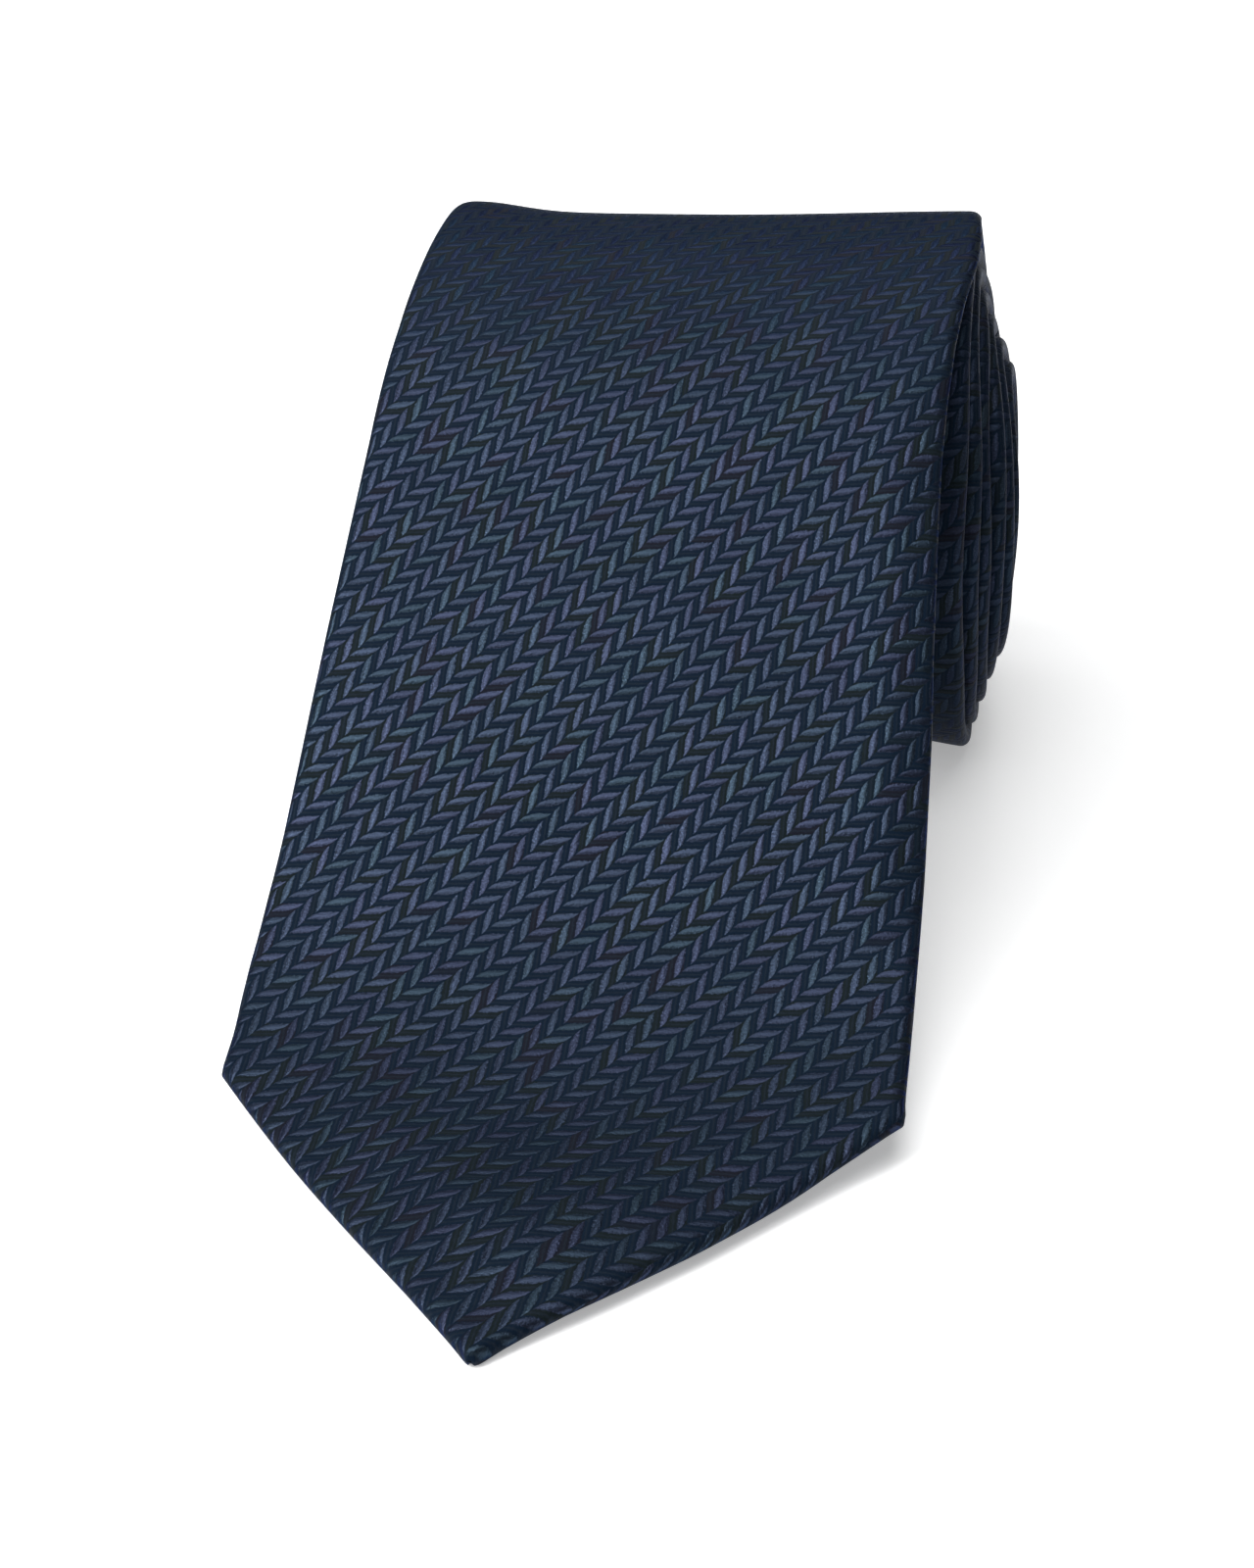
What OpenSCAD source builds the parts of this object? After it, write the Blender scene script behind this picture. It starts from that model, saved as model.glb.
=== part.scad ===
// Necktie rolled up from its narrow end, with the wide blade laid forward off the top of the roll.
// X runs along the roll's axis, the point of the blade lies towards -Y, Z is up.
// The origin is under the middle of the whole object, on the surface it rests on.

/* [Tie] */
// Whole length of the tie, point to point
tie_length = 1450; // [1350:10:1550]
// Width of the blade at its corners
blade_width = 85; // [75:1:95]
// Distance from the blade's point back to its corners
point_length = 43.5; // [42:0.5:46]
// Width of the tie where it passes round the neck
neck_width = 36; // [30:1:40]
// Width of the tail at its corners
tail_width = 45; // [38:1:50]
// Distance from the blade's point to where the tie is narrowest
neck_start = 740; // [680:10:800]
// Distance from the tail's point to where the tie is narrowest
neck_end = 420; // [360:10:480]
// Thickness of the finished tie, silk and lining together
tie_thickness = 2.4; // [2.2:0.1:2.8]
// Thickness of the silk
silk = 0.5; // [0.4:0.05:0.5]

/* [Roll] */
// Height of the roll above the table
roll_height = 83; // [78:1:88]
// Distance between one turn of the roll and the next
turn_pitch = 3.6; // [3.5:0.1:3.8]
// How far each inner turn steps out to the right
step_out = 2.4; // [0:0.2:3]
// Number of turns that step out
stepped_turns = 5; // [0:1:5]
// How far the roll settles on the table
settle = 0.5; // [0.4:0.1:0.8]

/* [Blade] */
// Length of the blade that lies flat on the table
flat_length = 23.5; // [15:0.5:30]
// Slope of the blade between the table and the roll, in degrees
slope = 43; // [38:1:46]
// Radius of the bend where the blade meets the table
foot_radius = 79; // [60:1:85]
// Radius of the bend where the blade leaves the roll
crown_radius = 73; // [60:1:80]
// Gap in the silk at the fold line, so that the blade can lift
fold_gap = 0.3; // [0.2:0.1:0.5]

/* [Back of the tie] */
// Width of the silk turned in round each point
hem = 9; // [7:0.5:11]
// Distance from the blade's point to where its back flaps meet
blade_vee = 105; // [95:1:115]
// Distance from the tail's point to where its back flaps meet
tail_vee = 60; // [50:1:70]
// Distance from the blade's point to the keeper loop
loop_at = 290; // [270:5:320]
// Width of the keeper loop, along the tie
loop_width = 13; // [10:1:16]
// Length of the keeper loop, across the tie
loop_length = 50; // [44:1:56]
// Distance from the blade's point to the label
label_at = 232; // [225:1:240]
// Length of the label along the tie
label_length = 32; // [20:1:36]
// Length of the label across the tie
label_width = 50; // [40:1:56]

/* [Hidden] */

half_thickness = tie_thickness / 2;
ply_gap = 0.05;                  // clearance between one ply and the next
seam_gap = 0.05;                 // half the gap between the two back flaps
point_blunt = 0.6;               // half the width of the tie at its very points
facets = 25;                     // facets in one turn of the roll
corner = blade_width / 2;        // half the blade's width
thin_ply = 0.25;                 // thickness of the tipping, the thread and the labels
stitch = 1.6;                    // length of one stitch
stitch_half = 0.3;               // half the width of a stitch
stitch_height = 0.15;            // how proud a stitch stands
least_core = 6;                  // radius of the smallest hole that is left in the roll
least_step = 0.2;                // shortest piece of a band, along the tie
lining_inset = silk + 0.4;       // from the tie's edge to the lining's edge
lining_start = 2;                // from the tie's point to the lining's end
tipping_inset = silk + 0.5;      // from the tie's edge to the tipping's edge
tipping_start = 4;               // from the tie's point to the tipping's end
tipping_overlap = 6;             // how far the tipping runs on under the closed flaps
seam_overlap = 7;                // from where the flaps meet to the start of the slip stitch
tack_gap = 1;                    // from where the flaps meet to the bar tack
join_inset = 40;                 // from the narrowest place of the tie to a panel join
vee_run = 0.55;                  // how fast the blade's back flaps close above the tipping
tail_vee_run = 0.3;              // the same at the tail

// Heights of the plies above the middle of the tie's thickness, from the face side down
lining_top = half_thickness - silk - ply_gap;
lining_bottom = -0.3;
tipping_top = lining_bottom - 2 * ply_gap;
tipping_bottom = tipping_top - thin_ply;
flap_top = silk - half_thickness;
back_rise = -half_thickness - ply_gap;
patch_stitch_rise = back_rise - thin_ply - ply_gap;

// The blade from its point to the roll's top: flat, a bend up, a straight slope, a bend over
foot_end = flat_length + foot_radius * slope * PI / 180;
straight = (roll_height - tie_thickness - (foot_radius + crown_radius) * (1 - cos(slope)))
    / sin(slope);
crown_start = foot_end + straight;
apex = crown_start + crown_radius * slope * PI / 180;

function slope_at(s) =
    s < flat_length ? 0 :
    s < foot_end ? (s - flat_length) / foot_radius * 180 / PI :
    s < crown_start ? slope : slope - (s - crown_start) / crown_radius * 180 / PI;

// Position on the blade's middle surface, s along the tie from the point
function blade_point(s) =
    let(
        a = slope_at(s),
        foot = [flat_length + foot_radius * sin(slope), foot_radius * (1 - cos(slope))],
        run = foot + straight * [cos(slope), sin(slope)]
    )
    s < flat_length ? [s, half_thickness] :
    s < foot_end
        ? [flat_length + foot_radius * sin(a), half_thickness + foot_radius * (1 - cos(a))] :
    s < crown_start
        ? foot + (s - foot_end) * [cos(slope), sin(slope)] + [0, half_thickness] :
    run + crown_radius * [sin(slope) - sin(a), cos(a) - cos(slope)] + [0, half_thickness];

// The roll: a spiral that starts at the top and goes down at the back
spiral_radius = (roll_height + settle + turn_pitch / 2 - tie_thickness) / 2;
roll_axis = [blade_point(apex)[0], roll_height - half_thickness - spiral_radius];
roll_length = tie_length - apex;
core_radius = sqrt(max(pow(spiral_radius, 2) - turn_pitch * roll_length / PI, pow(least_core, 2)));
turns = (spiral_radius - core_radius) / turn_pitch;
steps = ceil(turns * facets);

function roll_point(n) =
    let(r = spiral_radius - turn_pitch * n, a = 360 * n)
    [roll_axis[0] + r * sin(a), max(roll_axis[1] + r * cos(a), half_thickness)];

// The middle line of the whole tie as short straight pieces, and the length along it
point_steps = 8;
blade_steps = 29;
centre_line = concat(
    [for (i = [0:point_steps - 1]) blade_point(point_length * i / point_steps)],
    [for (i = [0:blade_steps - 1])
        blade_point(point_length + (apex - point_length) * i / blade_steps)],
    [for (i = [0:steps]) roll_point(turns * i / steps)]
);
last = len(centre_line) - 1;
along = [
    for (i = 0, l = 0; i <= last;
        l = l + (i < last ? norm(centre_line[i + 1] - centre_line[i]) : 0), i = i + 1) l
];
tie_end = along[last];
fold_line = along[point_steps + blade_steps];

// Outward normal at each end of a piece, lengthened so that offset pieces stay parallel
function unit(v) = v / norm(v);
function heading(i) =
    unit(centre_line[min(i + 1, last)] - centre_line[min(i, last - 1)]);
function outward(i) =
    let(a = heading(max(i - 1, 0)), b = heading(i), m = unit(a + b))
    [-m[1], m[0]] / (m * b);

depth_table = [for (i = [0:last]) [along[i], centre_line[i][0]]];
height_table = [for (i = [0:last]) [along[i], centre_line[i][1]]];
out_depth_table = [for (i = [0:last]) [along[i], outward(i)[0]]];
out_height_table = [for (i = [0:last]) [along[i], outward(i)[1]]];

// Half the width of the tie, with a pointed end of about 90 degrees at both ends
function eased(t) = (1 - cos(180 * max(0, min(1, t)))) / 2;
function half_width(s) =
    let(
        u = tie_end - s,
        body = s < (neck_start + tie_end - neck_end) / 2
            ? blade_width - (blade_width - neck_width)
                * eased((s - point_length) / (neck_start - point_length))
            : tail_width - (tail_width - neck_width)
                * eased((u - tail_width / 2) / (neck_end - tail_width / 2))
    )
    min(body / 2, point_blunt + s * (corner - point_blunt) / point_length, u + point_blunt);

// Middle of the tie's width: each inner turn of the roll steps out to the right
right_edge = half_width(fold_line);
function turn_at(s) = lookup(s, [for (i = [0:steps])
    [along[point_steps + blade_steps + i], turns * i / steps]]);
function middle(s) =
    s <= fold_line ? 0 :
    let(settled = min(1, turn_at(s) * 2), wide = min(half_width(s), right_edge))
    settled * (right_edge - max(wide, min(neck_width, tail_width) / 2))
        + step_out * min(stepped_turns, turn_at(s));

// The whole object sits centred over the origin
right_reach = max([for (s = along) middle(s) + half_width(s)]);
back_reach = max([for (i = [0:last]) centre_line[i][0] + half_thickness * outward(i)[0]]);
shift_x = (corner - right_reach) / 2;
shift_y = -back_reach / 2;

function place(x, s, rise) = [
    shift_x + middle(s) + x,
    shift_y + lookup(s, depth_table) + rise * lookup(s, out_depth_table),
    lookup(s, height_table) + rise * lookup(s, out_height_table)
];

// Half the width of the opening between the back flaps
function opening(s) =
    let(u = tie_end - s, corner_cut = hem * sqrt(2))
    max(seam_gap, min(s - corner_cut, (blade_vee - s) * vee_run),
        min(u - corner_cut, (tail_vee - u) * tail_vee_run));

// Distances along the tie from a to b, with the bends of the middle line between them
function stations(a, b) =
    concat([a], [for (s = along) if (s > a + least_step && s < b - least_step) s], [b]);

// A band swept along the tie. outer(s) and inner(s) give matching rows of [across, rise].
module band(a, b, outer, inner) {
    rows = stations(a, b);
    count = len(outer(a));
    ring = 2 * count;
    points = [for (s = rows) each concat(
        [for (q = outer(s)) place(q[0], s, q[1])],
        [for (k = [count - 1:-1:0]) place(inner(s)[k][0], s, inner(s)[k][1])]
    )];
    sides = [for (i = [0:len(rows) - 2], k = [0:ring - 1])
        let(m = (k + 1) % ring, p = i * ring, q = p + ring)
        each [[p + k, q + k, q + m], [p + k, q + m, p + m]]];
    caps = [for (k = [0:count - 2], end = [0, 1])
        let(
            p = end * (len(rows) - 1) * ring,
            quad = [p + k, p + k + 1, p + ring - 2 - k, p + ring - 1 - k]
        )
        end == 0 ? quad : [quad[3], quad[2], quad[1], quad[0]]];
    polyhedron(points = points, faces = concat(sides, caps));
}

// A flat strip between two heights, from x_low(s) to x_high(s) across the tie
module strip(a, b, x_low, x_high, top, bottom) {
    band(a, b,
        function(s) [[x_low(s), top], [x_high(s), top]],
        function(s) [[x_low(s), bottom], [x_high(s), bottom]]);
}

// Silk folded round the lining: back flap, edge, face, edge, back flap
module folded_silk(a, b) {
    function chain(gap, half, low, high) =
        [[-gap, low], [-half, low], [-half, high], [half, high], [half, low], [gap, low]];
    band(a, b,
        function(s) chain(opening(s), half_width(s), -half_thickness, half_thickness),
        function(s) chain(opening(s), half_width(s) - silk, flap_top, half_thickness - silk));
}

module lining(a, b) {
    strip(a, b, function(s) lining_inset - half_width(s), function(s) half_width(s) - lining_inset,
        lining_top, lining_bottom);
}

// Thread that closes the back seam, between the lining and the back flaps
module seam_thread(a, b) {
    strip(a, b, function(s) -stitch_half, function(s) stitch_half, tipping_top, tipping_bottom);
}

// Plain lining that closes the back of a point, tucked under the back flaps
module tipping(a, b) {
    tuck = 5;
    cover = function(s) min(half_width(s) - tipping_inset, opening(s) + tuck);
    strip(a, b, function(s) -cover(s), cover, tipping_top, tipping_bottom);
}

// Short dense stitches across the back seam
module bar_tack(s) {
    half_tack = 3;
    tack_height = 0.3;
    strip(s, s + stitch, function(s) -half_tack, function(s) half_tack,
        back_rise, back_rise - tack_height);
}

// Stitches on the back of the tie, one pair for each distance along it
module stitch_pairs(distances, across, rise) {
    for (s = distances, side = [-1, 1]) {
        middle_x = side * across(s);
        strip(s, s + stitch, function(t) middle_x - stitch_half,
            function(t) middle_x + stitch_half, rise, rise - stitch_height);
    }
}

// A piece sewn flat onto the back of the tie
module patch(a, length, width) {
    strip(a, a + length, function(s) -width / 2, function(s) width / 2,
        back_rise, back_rise - thin_ply);
}

// A bias join of two silk panels: stitching across the tie on each side of the slip stitch
module panel_join(s) {
    clearance = 1;
    for (side = [-1, 1]) {
        near = side * clearance;
        far = side * (half_width(s) - silk - clearance);
        strip(s - stitch / 2, s + stitch / 2, function(t) min(near, far),
            function(t) max(near, far), tipping_top, tipping_bottom);
    }
}

blade_join = neck_start - join_inset;
tail_join = tie_end - neck_end + join_inset;
navy = [0.13, 0.18, 0.27];
dark_navy = [0.08, 0.11, 0.17];
wool = [0.78, 0.76, 0.7];
thread = [0.1, 0.13, 0.2];

module blade_point_shell() color(navy) folded_silk(0, fold_line - fold_gap);

module blade_point_interlining() color(wool) lining(lining_start, fold_line - fold_gap);

module blade_tipping() color(dark_navy) tipping(tipping_start, blade_vee + tipping_overlap);

// Hem stitches along the edge of the opening, on the tipping
module tipping_stitches() {
    spacing = 4;
    first = hem * sqrt(2) + spacing;
    last_before_vee = 12;
    edge_margin = 2.5;
    color(thread) stitch_pairs([for (s = [first:spacing:blade_vee - last_before_vee]) s],
        function(s) min(opening(s), opening(s + stitch)) - edge_margin,
        tipping_bottom - ply_gap / 2);
}

module blade_bar_tack() color(thread) bar_tack(blade_vee + tack_gap);

// The slack left in the slip stitch, a small loop of thread lying under the flaps' meeting
module slack_thread_loop() {
    loop_radius = 3;
    thread_radius = 0.2;
    before_vee = 16;
    at = blade_vee - before_vee;
    color(thread) translate(place(0, at, tipping_bottom - thread_radius - 0.1))
        rotate([slope_at(at), 0, 0])
            rotate_extrude($fn = 32) translate([loop_radius, 0]) circle(thread_radius, $fn = 16);
}

module blade_point_slip_stitch() color(thread)
    seam_thread(blade_vee + seam_overlap, fold_line - fold_gap);

module blade_roll_shell() color(navy) folded_silk(fold_line, blade_join);

module neck_shell() color(navy) folded_silk(blade_join + ply_gap, tail_join);

module tail_shell() color(navy) folded_silk(tail_join + ply_gap, tie_end);

module interlining() color(wool) lining(fold_line, tie_end - lining_start);

module slip_stitch() color(thread)
    seam_thread(fold_line, tie_end - tail_vee - seam_overlap);

module tail_tipping() color(dark_navy)
    tipping(tie_end - tail_vee - tipping_overlap, tie_end - tipping_start);

module tail_bar_tack() color(thread) bar_tack(tie_end - tail_vee - tack_gap - stitch);

module keeper_loop() color(navy) patch(loop_at, loop_width, loop_length);

// A pair of stitches at each end of a piece sewn on the back
module patch_stitches(a, length, width) {
    from_end = 2;
    from_side = 1.5;
    color(thread) stitch_pairs([a + from_end, a + length - from_end - stitch],
        function(s) width / 2 - from_side, patch_stitch_rise);
}

module keeper_loop_stitches() patch_stitches(loop_at, loop_width, loop_length);

module maker_label() color(dark_navy) patch(label_at, label_length, label_width);

module maker_label_stitches() patch_stitches(label_at, label_length, label_width);

module care_label() {
    beyond_loop = 30;
    care_length = 18;
    care_width = 24;
    color(wool) patch(loop_at + beyond_loop, care_length, care_width);
}

module blade_neck_seam() color(thread) panel_join(blade_join);

module neck_tail_seam() color(thread) panel_join(tail_join);

blade_point_shell();
blade_point_interlining();
blade_tipping();
tipping_stitches();
blade_bar_tack();
slack_thread_loop();
blade_point_slip_stitch();
blade_roll_shell();
neck_shell();
tail_shell();
interlining();
slip_stitch();
tail_tipping();
tail_bar_tack();
keeper_loop();
keeper_loop_stitches();
maker_label();
maker_label_stitches();
care_label();
blade_neck_seam();
neck_tail_seam();
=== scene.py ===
import math

import bpy
import bmesh
import numpy as np
from mathutils import Matrix, Vector


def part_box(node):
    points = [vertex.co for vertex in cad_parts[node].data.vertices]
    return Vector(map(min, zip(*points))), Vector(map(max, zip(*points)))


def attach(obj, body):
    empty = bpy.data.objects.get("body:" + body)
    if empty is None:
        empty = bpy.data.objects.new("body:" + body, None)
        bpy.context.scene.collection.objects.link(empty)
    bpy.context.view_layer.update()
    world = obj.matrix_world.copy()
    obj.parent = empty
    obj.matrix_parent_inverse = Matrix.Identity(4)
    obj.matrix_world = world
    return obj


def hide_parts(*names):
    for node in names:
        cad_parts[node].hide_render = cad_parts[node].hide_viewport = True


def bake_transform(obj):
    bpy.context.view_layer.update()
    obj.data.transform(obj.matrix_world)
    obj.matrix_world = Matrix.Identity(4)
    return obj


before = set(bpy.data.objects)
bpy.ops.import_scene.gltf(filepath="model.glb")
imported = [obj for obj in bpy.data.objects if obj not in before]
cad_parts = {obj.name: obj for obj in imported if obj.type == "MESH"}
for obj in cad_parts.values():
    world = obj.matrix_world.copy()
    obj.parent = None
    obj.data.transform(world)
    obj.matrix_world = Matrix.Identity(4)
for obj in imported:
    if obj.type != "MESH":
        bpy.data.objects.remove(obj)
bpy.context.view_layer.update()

# Lengths along and across the tie are in millimetres; s runs along the tie from the blade's point.
MM = 0.001

# The tie, laid out flat
LENGTH = 1450.0
BLADE_WIDTH, NECK_WIDTH, TAIL_WIDTH = 85.0, 36.0, 45.0
POINT_LENGTH = 43.5
NECK_START, NECK_END = 740.0, 420.0
THICKNESS = 2.4
HALF = THICKNESS / 2
SILK = 0.5
HEM = 9.0
BLADE_VEE, TAIL_VEE = 105.0, 60.0
VEE_RUN, TAIL_VEE_RUN = 0.55, 0.3
POINT_BLUNT = 0.6
SEAM_GAP = 0.05
PLY_GAP = 0.05
THIN_PLY = 0.25
LOOP_AT, LOOP_WIDTH, LOOP_LENGTH = 290.0, 13.0, 50.0
LABEL_AT, LABEL_LENGTH, LABEL_WIDTH = 232.0, 32.0, 50.0
CARE_AT, CARE_LENGTH, CARE_WIDTH = 320.0, 18.0, 24.0

# The shape it lies in: flat point, bend up, straight slope, bend over, roll
FLAT_LENGTH, SLOPE = 23.5, math.radians(43)
FOOT_RADIUS, CROWN_RADIUS = 79.0, 73.0
ROLL_HEIGHT, TURN_PITCH, SETTLE = 83.0, 3.6, 0.5
FLOOR_SOFTNESS = 0.15        # how gently the turns flatten where they meet the floor
FLOOR_GAP = 0.03             # no point of the tie is lower than this
WRAP_LENGTH = 104.0          # past the top of the roll, the blade's own cloth goes on this far
PAST_CROWN = 60.0            # past the top of the roll, where the roll's own shape sets in
JOIN_INSET = 40.0            # from the end of a taper to the join of two silk panels

# Heights of the plies above the middle of the thickness
LINING_TOP = HALF - SILK - PLY_GAP
LINING_BOTTOM = -0.3
WOOL_SPARE = 0.05            # the wool stays this far under the silk
TIPPING_TOP = LINING_BOTTOM - 2 * PLY_GAP
TIPPING_BOTTOM = TIPPING_TOP - THIN_PLY
BACK_RISE = -HALF - PLY_GAP

# Where the blade's point and middle line are in the frame
blade_low, blade_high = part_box("blade_point_shell")
SHIFT_X = (blade_low.x + blade_high.x) / 2 / MM
SHIFT_Y = blade_low.y / MM


# ---------------------------------------------------------------- camera

CAMERA_OFFSET = (49.9, -167.25, 150.4)       # millimetres from the blade's point
CAMERA_ANGLES = (-10.68, 25.81, -1.24)       # azimuth, elevation and roll in degrees
SENSOR_WIDTH, LENS = 36.0, 49.58
NEAREST, FARTHEST = 0.01, 50.0


def set_camera():
    """The view of the photograph: low, from in front and a little to the right."""
    right_by, forward_by, up_by = CAMERA_OFFSET
    position = Vector((SHIFT_X + right_by, SHIFT_Y + forward_by, up_by)) * MM
    azimuth, elevation, roll = (math.radians(a) for a in CAMERA_ANGLES)
    forward = Vector((math.sin(azimuth) * math.cos(elevation),
                      math.cos(azimuth) * math.cos(elevation), -math.sin(elevation)))
    level = Vector((math.cos(azimuth), -math.sin(azimuth), 0))
    upright = level.cross(forward)
    right = math.cos(roll) * level + math.sin(roll) * upright
    up = -math.sin(roll) * level + math.cos(roll) * upright
    data = bpy.data.cameras.new("camera")
    data.sensor_fit, data.sensor_width, data.lens = "AUTO", SENSOR_WIDTH, LENS
    data.clip_start, data.clip_end = NEAREST, FARTHEST
    camera = bpy.data.objects.new("camera", data)
    bpy.context.scene.collection.objects.link(camera)
    turned = Matrix((right, up, -forward)).transposed().to_4x4()
    camera.matrix_world = Matrix.Translation(position) @ turned
    bpy.context.scene.camera = camera


set_camera()


# ---------------------------------------------------------------- the tie's path

ARC_POINTS, ROLL_POINTS = 1600, 9000
EVEN_STEP = 0.25                             # spacing of the evenly spaced tables
HEADING_WINDOW, HEADING_SPREAD = 40, 3.0
COIL_WINDOW, COIL_SPREAD = 80, 8.0


def smooth(x):
    """0 below 0, 1 above 1, an even ramp between."""
    t = np.clip(x, 0, 1)
    return t * t * (3 - 2 * t)


def blurred(values, window, spread):
    """An evenly spaced table, smoothed by a bell curve with its spread in millimetres."""
    bell = np.exp(-0.5 * (np.arange(-window, window + 1) * EVEN_STEP / spread) ** 2)
    return np.convolve(np.pad(values, window, mode="edge"), bell / bell.sum(), mode="valid")


def lay_path():
    """Tables along the tie: distance, depth, height, heading and turn of the roll."""
    foot_end = FLAT_LENGTH + FOOT_RADIUS * SLOPE
    rise = ROLL_HEIGHT - THICKNESS - (FOOT_RADIUS + CROWN_RADIUS) * (1 - math.cos(SLOPE))
    crown_start = foot_end + rise / math.sin(SLOPE)
    apex = crown_start + CROWN_RADIUS * SLOPE
    s = np.linspace(0, apex, ARC_POINTS)
    middle_s = (s[1:] + s[:-1]) / 2
    bend = np.clip((middle_s - FLAT_LENGTH) / FOOT_RADIUS, 0, SLOPE)
    bend = bend - np.clip((middle_s - crown_start) / CROWN_RADIUS, 0, SLOPE)
    y = np.concatenate([[0], np.cumsum(np.cos(bend) * np.diff(s))])
    z = HALF + np.concatenate([[0], np.cumsum(np.sin(bend) * np.diff(s))])

    radius = (ROLL_HEIGHT + SETTLE + TURN_PITCH / 2 - THICKNESS) / 2
    turns = (radius - math.sqrt(radius ** 2 - TURN_PITCH * (LENGTH - apex) / math.pi)) / TURN_PITCH
    n = np.linspace(0, turns, ROLL_POINTS)[1:]
    r = radius - TURN_PITCH * n
    roll_y = y[-1] + r * np.sin(2 * np.pi * n)
    roll_z = ROLL_HEIGHT - HALF - radius + r * np.cos(2 * np.pi * n)
    roll_z = HALF + FLOOR_SOFTNESS * np.logaddexp(0, (roll_z - HALF) / FLOOR_SOFTNESS)
    y, z = np.concatenate([y, roll_y]), np.concatenate([z, roll_z])
    step = np.hypot(np.diff(y), np.diff(z))
    s = np.concatenate([[0], np.cumsum(step)])
    turn = np.concatenate([np.zeros(ARC_POINTS), n])
    heading = np.unwrap(np.arctan2(np.diff(z), np.diff(y)))
    at = (s[1:] + s[:-1]) / 2
    even = np.arange(0, s[-1], EVEN_STEP)
    level = blurred(np.interp(even, at, heading), HEADING_WINDOW, HEADING_SPREAD)
    return s, y, z, turn, even, level, apex


PATH_S, PATH_Y, PATH_Z, PATH_TURN, EVEN_S, HEADING, APEX = lay_path()
TIE_END = float(PATH_S[-1])
BLADE_JOIN = NECK_START - JOIN_INSET
TAIL_JOIN = TIE_END - NECK_END + JOIN_INSET
WRAP = APEX + WRAP_LENGTH
CORNER = BLADE_WIDTH / 2


def eased(t):
    """0 below 0, 1 above 1, half a wave between."""
    return (1 - np.cos(np.pi * np.clip(t, 0, 1))) / 2


def half_width(s):
    """Half the width of the tie: a point, a taper to the neck and a taper out to the tail."""
    u = TIE_END - s
    blade = BLADE_WIDTH - (BLADE_WIDTH - NECK_WIDTH) * eased(
        (s - POINT_LENGTH) / (NECK_START - POINT_LENGTH))
    tail = TAIL_WIDTH - (TAIL_WIDTH - NECK_WIDTH) * eased(
        (u - TAIL_WIDTH / 2) / (NECK_END - TAIL_WIDTH / 2))
    body = np.where(s < (NECK_START + TIE_END - NECK_END) / 2, blade, tail)
    point = s * (CORNER - POINT_BLUNT) / POINT_LENGTH + POINT_BLUNT
    return np.minimum(body / 2, np.minimum(point, u + POINT_BLUNT))


def opening(s):
    """Half the width of the opening between the back flaps."""
    u = TIE_END - s
    cut = HEM * math.sqrt(2)
    front = np.minimum(s - cut, (BLADE_VEE - s) * VEE_RUN)
    back = np.minimum(u - cut, (TAIL_VEE - u) * TAIL_VEE_RUN)
    return np.maximum(SEAM_GAP, np.maximum(front, back))


# Right edge of the roll, in millimetres from the blade's middle line, at each quarter turn from the
# roll's top: top, back, bottom, front. The coil is skewed, so its fronts fan out more than its tops.
COIL_EDGE = [
    40.6, 44.3, 46.4, 43.8,
    42.6, 45.6, 47.0, 46.1,
    43.4, 46.8, 47.8, 47.9,
    44.2, 48.2, 48.6, 50.2,
    45.3, 49.6, 49.3, 51.7,
    46.8, 50.8, 50.0, 52.0,
    48.4, 51.2, 50.2, 51.0,
]

# How far the blade's left and right edges stray from straight: (s, distance to the right)
LEFT_STRAY = [
    (0, 0.9), (10, 1.0), (20, 0.75), (30, 0.8), (43.5, 1.1), (50, 0.75), (55, 0.2), (60, -0.15),
    (70, -0.3), (90, 0.0), (110, 0.15), (130, 0.4), (140, 0.55), (160, 0.4), (170, 0.0),
    (180, -0.5), (190, -1.0), (200, -1.6), (218, -1.6), (245, -0.4), (275, 0.0)]
RIGHT_STRAY = [
    (0, 0.5), (4, 0.7), (10, 1.5), (20, 1.7), (27, 1.0), (35, 0.1), (43.5, -0.2), (47, -0.5),
    (80, -0.45), (100, -0.7), (110, -1.1), (130, -1.5), (140, -1.5), (150, -1.1), (160, -0.4),
    (170, 0.7), (180, 2.2), (190, 2.7), (205, 2.4), (220, 1.6), (245, 0.6), (275, 0.0)]

DRIFT_WAVES, DRIFT_SCALE = 4, 2.6
SHORTEST_WAVE, WAVE_GROWTH = 0.6, 0.45


def drift(x, wave, seed):
    """A slow random wander of about -1 to 1 along x."""
    draw = np.random.default_rng(seed)
    total = np.zeros_like(np.asarray(x, float))
    for k in range(DRIFT_WAVES):
        length = wave * (SHORTEST_WAVE + WAVE_GROWTH * k)
        total = total + np.sin(2 * np.pi * x / length + draw.uniform(0, 6.28))
    return total / DRIFT_SCALE


def coil_table():
    """The coil's right edge along the tie, smoothed."""
    turn = np.interp(EVEN_S, PATH_S, PATH_TURN)
    edge = np.interp(turn, np.arange(len(COIL_EDGE)) / 4, COIL_EDGE)
    return blurred(edge, COIL_WINDOW, COIL_SPREAD)


COIL = coil_table()
LEAN, LEAN_RUN = 0.9, 150                    # the blade leans this far to the right, over this length
COIL_STRAY, STRAY_WAVE, STRAY_SEED, STRAY_RUN = 0.3, 55.0, 3, 60
COIL_BEFORE, COIL_RUN = 6, 40                # the coil's edge takes over here, before the apex


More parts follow.
